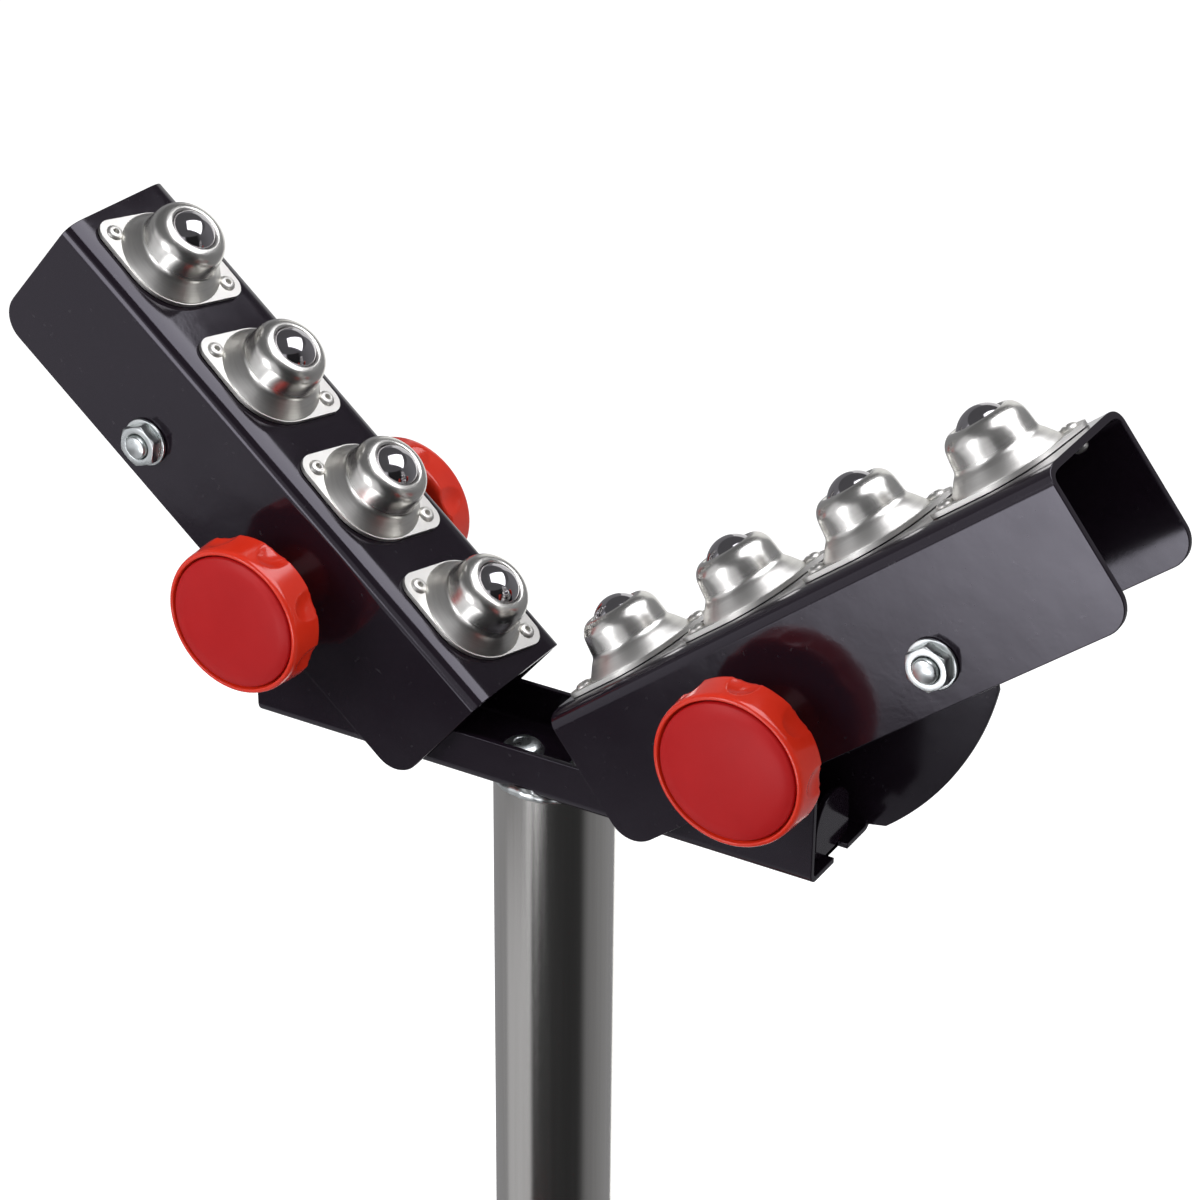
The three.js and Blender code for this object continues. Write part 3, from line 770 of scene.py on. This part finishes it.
def add_bracket():
    place = Matrix.Translation((0, 0, BRACKET_Z))
    bracket = piece("bracket_channel", bracket_mesh(), "head", place, ["base_bracket"])
    sheet_metal(bracket, BRACKET_SHEET, BRACKET_EDGE)
    mesh = tongue_mesh()
    for side, turn in (("right", 0), ("left", math.pi)):
        out = Matrix.Translation((BRACKET_END - NOTCH_DEPTH, 0, 0))
        spot = place @ Matrix.Rotation(turn, 4, "Z") @ out @ ON_EDGE
        tongue = piece(f"{side}_bracket_tongue", mesh, "head", spot)
        sheet_metal(tongue, 0, BRACKET_EDGE)


# Knobs

# Radius and height from the hub's end to the middle of the face.
def knob_rows(capped):
    front = KNOB_DEPTH
    back = KNOB_HUB_LENGTH
    side = KNOB_RADIUS + KNOB_SWELL
    rows = [
        (0, 0),
        (KNOB_HUB - 0.6 * MM, 0),
        (KNOB_HUB, 0.6 * MM),
        (KNOB_HUB, back - 0.8 * MM),
        (KNOB_HUB + 1 * MM, back),
        (26 * MM, back),
        (29.2 * MM, back + 0.15 * MM),
        (30.6 * MM, back + 0.7 * MM),
    ]
    low = back + 1.6 * MM
    high = front - 2.2 * MM
    for k in range(KNOB_SIDE_STEPS + 1):
        t = k / KNOB_SIDE_STEPS
        rows.append((side - KNOB_DRAFT * t, low + (high - low) * t))
    rows += [
        (30.75 * MM, front - 1.3 * MM),
        (30.45 * MM, front - 0.6 * MM),
        (30.0 * MM, front - 0.15 * MM),
        (29.2 * MM, front),
        (KNOB_LIP, front - 0.1 * MM),
        (28.7 * MM, front - 0.5 * MM),
        (28.65 * MM, front - CAP_SEAT),
    ]
    return [*rows, (0, front - (CAP_SEAT if capped else PLAIN_FACE_DEPTH))]


# Egg-shaped hollows round the rim, with a crisp edge.
def knob_shape(angle, row):
    pitch = math.tau / KNOB_SCALLOPS
    along = (angle + pitch / 2) % pitch - pitch / 2
    across = (row[1] - KNOB_HUB_LENGTH - SCALLOP_FROM_BACK) / SCALLOP_HALF_LENGTH
    reach = (along * KNOB_RADIUS / SCALLOP_HALF_WIDTH) ** 2 + across ** 2
    if row[0] < KNOB_LIP or reach >= 1:
        return row[0]
    return min(row[0], KNOB_RADIUS - SCALLOP_DEPTH * (1 - reach))


def cap_rows():
    front = KNOB_DEPTH
    return [
        (0, front - 2.2 * MM),
        (CAP_RADIUS, front - 2.2 * MM),
        (CAP_RADIUS, front - 0.9 * MM),
        (CAP_RADIUS - 0.2 * MM, front - 0.4 * MM),
        (CAP_RADIUS - 0.7 * MM, front),
        (0.8 * CAP_RADIUS, front + 0.45 * CAP_CROWN),
        (0.55 * CAP_RADIUS, front + 0.75 * CAP_CROWN),
        (0.28 * CAP_RADIUS, front + 0.94 * CAP_CROWN),
        (0, front + CAP_CROWN),
    ]


def add_knobs():
    bm = bmesh.new()
    revolve(bm, knob_rows(True), KNOB_ROUND, knob_shape)
    knob = mesh_of("knob", bm, rim_red, KNOB_SHARP)
    bm = bmesh.new()
    revolve(bm, cap_rows(), ROUND)
    cap = mesh_of("knob_cap", bm, cap_red, KNOB_SHARP)
    for side in SIDES:
        pivot = joint_place(f"{side}_arm_tilt")
        pivot.y = 0
        for end, away in ENDS.items():
            out = Matrix.Translation((0, 0, ARM_HALF + SEAT_GAP))
            place = Matrix.Translation(pivot) @ facing(away) @ out
            body = f"{side}_{end}_clamp"
            turn = Matrix.Rotation(math.radians(KNOB_TURN[side]), 4, "Z")
            piece(f"{side}_{end}_grip", knob, body, place @ turn, [f"{side}_{end}_knob"])
            piece(f"{side}_{end}_disc", cap, body, place, [f"{side}_{end}_knob_cap"])
        frame["nodes"][f"{side}_pivot_stud"].data.materials[0] = steel
        for end in ENDS:
            frame["nodes"][f"{side}_{end}_washer"].data.materials[0] = nylon


# Fasteners

def hex_shape(angle, row):
    flat = angle % (math.pi / 3) - math.pi / 6
    return min(row[0], HEX_ACROSS / 2 / math.cos(flat))


# Chamfered corners between two heights.
def hex_rows(low, high, low_cut=True, high_cut=True):
    shrink = HEX_CORNER - HEX_ACROSS / 2 + 0.15 * MM
    drop = shrink * math.tan(math.radians(HEX_CHAMFER))
    steps = [k / 4 for k in range(5)]
    rows = []
    for t in steps if low_cut else [1]:
        rows.append((HEX_CORNER - shrink * (1 - t), low + drop * t if low_cut else low))
    for t in steps if high_cut else [0]:
        rows.append((HEX_CORNER - shrink * t, high - drop * (1 - t) if high_cut else high))
    return rows


def nut_mesh():
    top = NUT_WASHER_HEIGHT + NUT_HEIGHT
    bore = BOLT_RADIUS + 0.15 * MM
    bm = bmesh.new()
    rows = [
        (bore, 0),
        (NUT_WASHER - 0.3 * MM, 0),
        (NUT_WASHER, 0.3 * MM),
        (NUT_WASHER, NUT_WASHER_HEIGHT - 0.4 * MM),
        (NUT_WASHER - 0.4 * MM, NUT_WASHER_HEIGHT),
        (bore, NUT_WASHER_HEIGHT),
    ]
    revolve(bm, rows, ROUND, closed=True)
    rows = [(bore, NUT_WASHER_HEIGHT), *hex_rows(NUT_WASHER_HEIGHT, top)]
    rows += [
        (BOLT_RADIUS + 0.9 * MM, top + 0.02 * MM),
        (BOLT_RADIUS + 0.6 * MM, top - 0.2 * MM),
        (bore, top - 0.9 * MM),
    ]
    revolve(bm, rows, ROUND, hex_shape, closed=True)
    return mesh_of("hex_nut", bm, zinc)


def tie_bolt_mesh():
    seat = ARM_HALF + SEAT_GAP
    end = seat + NUT_WASHER_HEIGHT + NUT_HEIGHT + BOLT_PROUD
    head = -seat - BOLT_HEAD_HEIGHT
    rows = [(0, head), *hex_rows(head, -seat, True, False), (BOLT_RADIUS, -seat)]
    rows += [
        (BOLT_RADIUS, end - 0.9 * MM),
        (BOLT_RADIUS - 0.9 * MM, end),
        (0, end + 0.05 * MM),
    ]
    bm = bmesh.new()
    revolve(bm, rows, ROUND, hex_shape)
    return mesh_of("tie_bolt", bm, zinc)


def tube_mesh(name, finish, outer, inner, low, high, segments=ROUND):
    edge = min(0.5 * MM, 0.3 * (outer - inner))
    rows = [
        (inner, low),
        (outer - edge, low),
        (outer, low + edge),
        (outer, high - edge),
        (outer - edge, high),
        (inner, high),
    ]
    bm = bmesh.new()
    revolve(bm, rows, segments, closed=True)
    return mesh_of(name, bm, finish)


def add_ties():
    bolt = tie_bolt_mesh()
    nut = nut_mesh()
    half = ARM_HALF - ARM_SHEET - SEAT_GAP
    spacer = tube_mesh("tie_tube", steel, SPACER_RADIUS, BOLT_RADIUS + SEAT_GAP, -half, half, SMALL_ROUND)
    out = Matrix.Translation((0, 0, ARM_HALF + SEAT_GAP))
    for side in SIDES:
        front = -1 if side == "right" else 1
        place = arm_place(side) @ Matrix.Translation((TIE_FROM_PIVOT, 0, -TIE_DROP)) @ facing(front)
        body = f"{side}_roller_arm"
        for thing in (
            piece(f"{side}_cross_bolt", bolt, body, place, [f"{side}_tie_bolt"]),
            piece(f"{side}_lock_nut", nut, body, place @ out, [f"{side}_tie_nut"]),
            piece(f"{side}_cross_tube", spacer, body, place, [f"{side}_tie_spacer"]),
        ):
            sheet_normals(thing)


def add_head_bolts():
    seat = BRACKET_SHEET + SEAT_GAP
    top = seat + HEAD_BOLT_RISE
    ease = 0.3 * MM
    rows = [
        (0, seat - HEAD_BOLT_LENGTH),
        (BOLT_RADIUS, seat - HEAD_BOLT_LENGTH),
        (BOLT_RADIUS, seat),
        (HEAD_BOLT_RADIUS, seat),
        (HEAD_BOLT_RADIUS, seat + 0.7 * MM),
        (8.6 * MM, seat + 1.9 * MM, ease),
        (7.6 * MM, seat + 3.3 * MM, ease),
        (6.2 * MM, seat + 4.3 * MM, ease),
        (4.6 * MM, top - 0.2 * MM, ease),
        (3.6 * MM, top, ease),
        (3 * MM, top - 0.3 * MM, ease),
        (0, top - 0.3 * MM),
    ]
    bm = bmesh.new()
    revolve(bm, softened(rows, 3), SMALL_ROUND)
    mesh = mesh_of("dome_bolt", bm, zinc)
    for side, sign in (("left", -1), ("right", 1)):
        place = Matrix.Translation((sign * HEAD_BOLT_X, 0, BRACKET_Z))
        piece(f"{side}_dome_bolt", mesh, "head", place, [f"{side}_head_bolt"])


# Post, column and base

# Weld bead between the post and the bracket, filling the space under the bends.
def add_weld():
    def ripple(angle, row):
        return row[0] + row[2] * (0.6 * math.sin(19 * angle) + 0.4 * math.sin(31 * angle + 1))

    under = BRACKET_Z
    rows = [
        (POST_RADIUS - 0.6 * MM, under, 0),
        (POST_RADIUS - 0.6 * MM, under - 2.0 * MM, 0),
        (POST_RADIUS + 0.25 * MM, under - 1.9 * MM, 0.1 * MM),
        (POST_RADIUS + 0.7 * MM, under - 1.2 * MM, 0.2 * MM),
        (POST_RADIUS + 0.8 * MM, under, 0.2 * MM),
    ]
    bm = bmesh.new()
    revolve(bm, rows, 3 * ROUND, ripple, closed=True)
    for vert in bm.verts:
        over = min(abs(vert.co.y) - BRACKET_HALF + BRACKET_BEND, 0.98 * BRACKET_BEND)
        if over > 0 and vert.co.z > under - 0.1 * MM:
            vert.co.z += BRACKET_BEND - math.sqrt(BRACKET_BEND ** 2 - over ** 2)
    piece("post_weld", mesh_of("post_weld", bm, zinc, WELD_SHARP), "head")


def add_post():
    low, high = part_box("post")
    inner = POST_RADIUS - POST_WALL
    mesh = tube_mesh("post_tube", chrome, POST_RADIUS, inner, low.z, high.z, 2 * ROUND)
    sheet_normals(piece("post_tube", mesh, "head", None, ["post"]))
    add_weld()
    frame["nodes"]["guide_bush"].data.materials[0] = nylon


def add_column():
    low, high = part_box("column")
    inner = COLUMN_RADIUS - COLUMN_WALL
    rows = [
        (inner, low.z),
        (COLUMN_RADIUS, low.z),
        (COLUMN_RADIUS, high.z - COLUMN_EDGE),
        (COLUMN_RADIUS - COLUMN_EDGE, high.z),
        (inner, high.z),
    ]
    bm = bmesh.new()
    revolve(bm, rows, ROUND, closed=True)
    mesh = mesh_of("column_tube", bm, paint)
    sheet_normals(piece("column_tube", mesh, "stand", None, ["column"]))


# Boss on the column, knob and screw.
def add_clamp():
    place = Matrix.Translation((0, 0, CLAMP_HEIGHT)) @ facing(-1)
    root = math.sqrt(COLUMN_RADIUS ** 2 - CLAMP_BOSS ** 2) - CLAMP_BOSS_ROOT
    bore = BOLT_RADIUS + SEAT_GAP
    boss = tube_mesh("clamp_boss", paint, CLAMP_BOSS, bore, root, CLAMP_REACH, SMALL_ROUND)
    sheet_normals(piece("clamp_boss", boss, "stand", place))
    out = place @ Matrix.Translation((0, 0, CLAMP_REACH + CLAMP_SCREW_SHOW))
    bm = bmesh.new()
    revolve(bm, knob_rows(False), KNOB_ROUND, knob_shape)
    knob = mesh_of("clamp_knob", bm, rim_red, KNOB_SHARP)
    piece("clamp_knob", knob, "height_clamp", out, ["height_clamp_knob"])
    rows = [
        (0, -CLAMP_SCREW_LENGTH),
        (BOLT_RADIUS, -CLAMP_SCREW_LENGTH, 0.8 * MM),
        (BOLT_RADIUS, 1 * MM),
        (0, 1 * MM),
    ]
    bm = bmesh.new()
    revolve(bm, softened(rows), SMALL_ROUND)
    piece("clamp_screw", mesh_of("clamp_screw", bm, zinc), "height_clamp", out)


def beam_mesh(name, start, end):
    half = BEAM_WIDTH / 2
    low = FOOT_HEIGHT
    high = FOOT_HEIGHT + BEAM_HEIGHT
    corners = [(-half, low), (half, low), (half, high), (-half, high)]
    outline = softened([(y, z, BEAM_CORNER) for y, z in corners], 6)
    bm = bmesh.new()
    prism(bm, outline, start, end, ON_EDGE)
    return mesh_of(name, bm, paint)


def foot_mesh():
    rows = softened([
        (0, 0),
        (FOOT_PAD - 1 * MM, 0, 0.5 * MM),
        (FOOT_PAD, 2 * MM, 0.7 * MM),
        (0.85 * FOOT_PAD, 12 * MM, 1.5 * MM),
        (FOOT_STEM, 12 * MM, 0.8 * MM),
        (FOOT_STEM, FOOT_HEIGHT - SEAT_GAP),
        (0, FOOT_HEIGHT - SEAT_GAP),
    ])
    bm = bmesh.new()
    revolve(bm, rows, ROUND)
    return mesh_of("foot", bm, rubber)


def add_base():
    long = Matrix.Rotation(math.radians(BEAM_TURN), 4, "Z")
    short = Matrix.Rotation(math.radians(-BEAM_TURN), 4, "Z")
    beams = (
        ("long_beam", -BEAM_REACH, BEAM_REACH, long, "base_beam"),
        ("right_half_beam", BEAM_WIDTH / 2 + SEAT_GAP, BEAM_REACH, short, "right_leg"),
        ("left_half_beam", -BEAM_REACH, -BEAM_WIDTH / 2 - SEAT_GAP, short, "left_leg"),
    )
    for name, start, end, turn, stands_for in beams:
        beam = piece(name, beam_mesh(name, start, end), "stand", turn, [stands_for])
        sheet_metal(beam, 0, BEAM_EDGE)
    foot = foot_mesh()
    for corner in ("back_right", "front_left", "front_right", "back_left"):
        spot = middle(f"{corner}_foot")
        place = Matrix.Translation((spot.x, spot.y, 0))
        piece(f"{corner}_pad", foot, "stand", place, [f"{corner}_foot"])


# Studio

def add_camera():
    yaw, pitch, roll = (math.radians(a) for a in (CAMERA_YAW, CAMERA_PITCH, CAMERA_ROLL))
    ahead = Vector((-math.sin(yaw) * math.cos(pitch), math.cos(yaw) * math.cos(pitch), -math.sin(pitch)))
    level = Vector((math.cos(yaw), math.sin(yaw), 0))
    rise = level.cross(ahead)
    right = level * math.cos(roll) + rise * math.sin(roll)
    up = rise * math.cos(roll) - level * math.sin(roll)
    place = Matrix((right, up, -ahead)).transposed().to_4x4()
    place.translation = CAMERA_PLACE
    data = bpy.data.cameras.new("camera")
    data.lens = CAMERA_LENS
    data.sensor_width = CAMERA_SENSOR
    camera = bpy.data.objects.new("camera", data)
    camera.matrix_world = place
    bpy.context.scene.collection.objects.link(camera)
    bpy.context.scene.camera = camera


def seen_rays(tree):
    path = tree.nodes.new("ShaderNodeLightPath")
    first = tree.nodes.new("ShaderNodeMath")
    second = tree.nodes.new("ShaderNodeMath")
    first.operation = second.operation = "MAXIMUM"
    tree.links.new(path.outputs["Is Camera Ray"], first.inputs[0])
    tree.links.new(path.outputs["Is Glossy Ray"], first.inputs[1])
    tree.links.new(first.outputs[0], second.inputs[0])
    tree.links.new(path.outputs["Is Transmission Ray"], second.inputs[1])
    return second.outputs[0]


def add_world():
    world = bpy.data.worlds.new("studio")
    bpy.context.scene.world = world
    world.use_nodes = True
    tree = world.node_tree
    tree.nodes.clear()
    shown = tree.nodes.new("ShaderNodeBackground")
    shown.inputs["Color"].default_value = (1, 1, 1, 1)
    shown.inputs["Strength"].default_value = 1
    soft = tree.nodes.new("ShaderNodeBackground")
    soft.inputs["Color"].default_value = (1, 1, 1, 1)
    soft.inputs["Strength"].default_value = WORLD_LIGHT
    mix = tree.nodes.new("ShaderNodeMixShader")
    out = tree.nodes.new("ShaderNodeOutputWorld")
    tree.links.new(seen_rays(tree), mix.inputs["Fac"])
    tree.links.new(soft.outputs[0], mix.inputs[1])
    tree.links.new(shown.outputs[0], mix.inputs[2])
    tree.links.new(mix.outputs[0], out.inputs["Surface"])


def square(bm, half, place=Matrix.Identity(4)):
    bmesh.ops.create_grid(bm, x_segments=1, y_segments=1, size=half, matrix=place)


def add_floor():
    material = bpy.data.materials.new("pale_floor")
    material.use_nodes = True
    tree = material.node_tree
    tree.nodes.clear()
    matt = tree.nodes.new("ShaderNodeBsdfDiffuse")
    matt.inputs["Color"].default_value = FLOOR_COLOUR
    glow = tree.nodes.new("ShaderNodeEmission")
    lift = tree.nodes.new("ShaderNodeMath")
    lift.operation = "MULTIPLY"
    lift.inputs[1].default_value = FLOOR_GLOW
    add = tree.nodes.new("ShaderNodeAddShader")
    out = tree.nodes.new("ShaderNodeOutputMaterial")
    tree.links.new(seen_rays(tree), lift.inputs[0])
    tree.links.new(lift.outputs[0], glow.inputs["Strength"])
    tree.links.new(matt.outputs[0], add.inputs[0])
    tree.links.new(glow.outputs[0], add.inputs[1])
    tree.links.new(add.outputs[0], out.inputs["Surface"])
    bm = bmesh.new()
    square(bm, FLOOR_HALF)
    mesh = mesh_of("floor", bm, material)
    floor = bpy.data.objects.new("floor", mesh)
    bpy.context.scene.collection.objects.link(floor)


def add_lamp(name, place, size, power):
    data = bpy.data.lights.new(name, "AREA")
    data.shape = "RECTANGLE"
    data.size = data.size_y = size
    data.energy = power
    lamp = bpy.data.objects.new(name, data)
    bpy.context.scene.collection.objects.link(lamp)
    lamp.location = place
    lamp.rotation_mode = "QUATERNION"
    lamp.rotation_quaternion = (HEAD - Vector(place)).to_track_quat("-Z", "Y")
    lamp.visible_glossy = False


def card_material(name, strength):
    material = bpy.data.materials.new(name)
    material.use_nodes = True
    tree = material.node_tree
    tree.nodes.clear()
    glow = tree.nodes.new("ShaderNodeEmission")
    glow.inputs["Color"].default_value = CARD_COLOUR
    glow.inputs["Strength"].default_value = strength
    out = tree.nodes.new("ShaderNodeOutputMaterial")
    tree.links.new(glow.outputs[0], out.inputs["Surface"])
    return material, glow


# Studio cards that show in reflections only.
def add_card(name, bm, material):
    card = bpy.data.objects.new(name, mesh_of(name, bm, material))
    bpy.context.scene.collection.objects.link(card)
    card.visible_camera = False
    card.visible_diffuse = False
    card.visible_transmission = False
    card.visible_shadow = False


# Strength that changes with the distance from a spot.
def fade_with_distance(material, glow, spot, near, far, start, end):
    place = node(material, "ShaderNodeTexCoord")
    apart = node(material, "ShaderNodeVectorMath", operation="DISTANCE")
    apart.inputs[1].default_value = spot
    link(material, place.outputs["Object"], apart.inputs[0])
    link(material, ranged(material, apart.outputs["Value"], near, far, start, end), glow.inputs["Strength"])


# Strength that changes evenly between two directions seen from above.
def fade_with_turn(material, glow, first, last, start, end):
    place = node(material, "ShaderNodeTexCoord")
    turn = node(material, "ShaderNodeTexGradient", gradient_type="RADIAL")
    link(material, place.outputs["Object"], turn.inputs["Vector"])
    share = ranged(material, turn.outputs["Fac"], first, last, start / 360 + 0.5, end / 360 + 0.5)
    link(material, share, glow.inputs["Strength"])


# Strip between two lines of radius and height, from one direction to another seen from above.
def add_sector(name, start, end, inner, outer, material):
    bm = bmesh.new()
    lines = []
    for k in range(CARD_STEPS + 1):
        angle = math.radians(start + (end - start) * k / CARD_STEPS)
        spots = [(r * math.cos(angle), r * math.sin(angle), z) for r, z in (inner, outer)]
        lines.append([bm.verts.new(spot) for spot in spots])
    for first, second in zip(lines, lines[1:]):
        bm.faces.new((*first, *reversed(second)))
    add_card(name, bm, material)


def add_sectors():
    near = (CARD_INNER, CARD_LIFT)
    far = (CARD_OUTER, CARD_LIFT)
    top = (CARD_OUTER, ROOF)
    middle_line = (FAR_FLOOR_START, CARD_LIFT)
    camera_side = card_material("camera_side", CAMERA_CARD)[0]
    turning, glow = card_material("turning_side", CAMERA_CARD)
    fade_with_turn(turning, glow, CAMERA_CARD, RIGHT_CARD_START, TURNING_FROM, RIGHT_FROM)
    right_side, glow = card_material("right_side", RIGHT_CARD)
    fade_with_turn(right_side, glow, RIGHT_CARD_START, RIGHT_CARD, RIGHT_FROM, RIGHT_FULL)
    back_side = card_material("back_side", BACK_CARD)[0]
    front_floor, glow = card_material("front_floor", FRONT_CARD)
    fade_with_distance(front_floor, glow, (0, 0, 0), FRONT_FLOOR, FRONT_CARD, *FRONT_FADE)
    far_floor = card_material("far_floor", FAR_FLOOR)[0]
    front_wall = card_material("front_wall", FRONT_WALL)[0]
    add_sector("camera_floor", CAMERA_FLOOR_FROM, TURNING_FROM, near, far, camera_side)
    add_sector("camera_wall", CAMERA_WALL_FROM, TURNING_FROM, far, top, camera_side)
    for level, inner, outer in (("floor", near, far), ("wall", far, top)):
        add_sector(f"turning_{level}", TURNING_FROM, RIGHT_FROM, inner, outer, turning)
        add_sector(f"right_{level}", RIGHT_FROM, RIGHT_TO, inner, outer, right_side)
        add_sector(f"back_{level}", BACK_FROM, FRONT_FROM, inner, outer, back_side)
    add_sector("front_floor", FRONT_FROM, FRONT_FLOOR_TO, near, middle_line, front_floor)
    add_sector("far_floor", FRONT_FROM, FRONT_FLOOR_TO, middle_line, far, far_floor)
    add_sector("front_wall", FRONT_FROM, FRONT_WALL_TO, far, top, front_wall)


# Bright patch of floor in front of the stand.
def add_patch():
    material, glow = card_material("floor_patch", FRONT_CARD)
    fade_with_distance(material, glow, PATCH_SPOT, PATCH_GLOW, FRONT_CARD, PATCH_CORE, PATCH_RADIUS)
    inner = (PATCH_INNER, PATCH_SPOT[2])
    outer = (PATCH_OUTER, PATCH_SPOT[2])
    add_sector("floor_patch", PATCH_FROM, PATCH_TO, inner, outer, material)


# Broad overhead light seen in the steel and along the bends.
def add_softbox():
    bm = bmesh.new()
    corners = [HEAD + SOFTBOX_AWAY * Vector(towards).normalized() for towards in SOFTBOX_CORNERS]
    bm.faces.new([bm.verts.new(corner) for corner in corners])
    add_card("softbox", bm, card_material("softbox", SOFTBOX_GLOW)[0])


# Upright light in front, low and to the left.
def add_front_light():
    bm = bmesh.new()
    place = Vector(FRONT_LIGHT)
    turn = (HEAD - place).to_track_quat("-Z", "Y").to_matrix().to_4x4()
    square(bm, FRONT_LIGHT_SIZE / 2, Matrix.Translation(place) @ turn)
    add_card("front_light", bm, card_material("front_light", FRONT_LIGHT_GLOW)[0])


def add_roof():
    bm = bmesh.new()
    square(bm, CARD_OUTER, Matrix.Translation((0, 0, ROOF)))
    add_card("roof_card", bm, card_material("roof_card", ROOF_CARD)[0])


def add_studio():
    add_camera()
    add_world()
    add_floor()
    add_roof()
    add_sectors()
    add_patch()
    add_softbox()
    add_front_light()
    add_lamp("key", KEY_PLACE, KEY_SIZE, KEY_POWER)
    add_lamp("fill", FILL_PLACE, FILL_SIZE, FILL_POWER)
    bpy.context.scene.view_settings.view_transform = "Standard"


add_arms()
add_ball_units()
add_bracket()
add_knobs()
add_ties()
add_head_bolts()
add_post()
add_column()
add_clamp()
add_base()
add_studio()
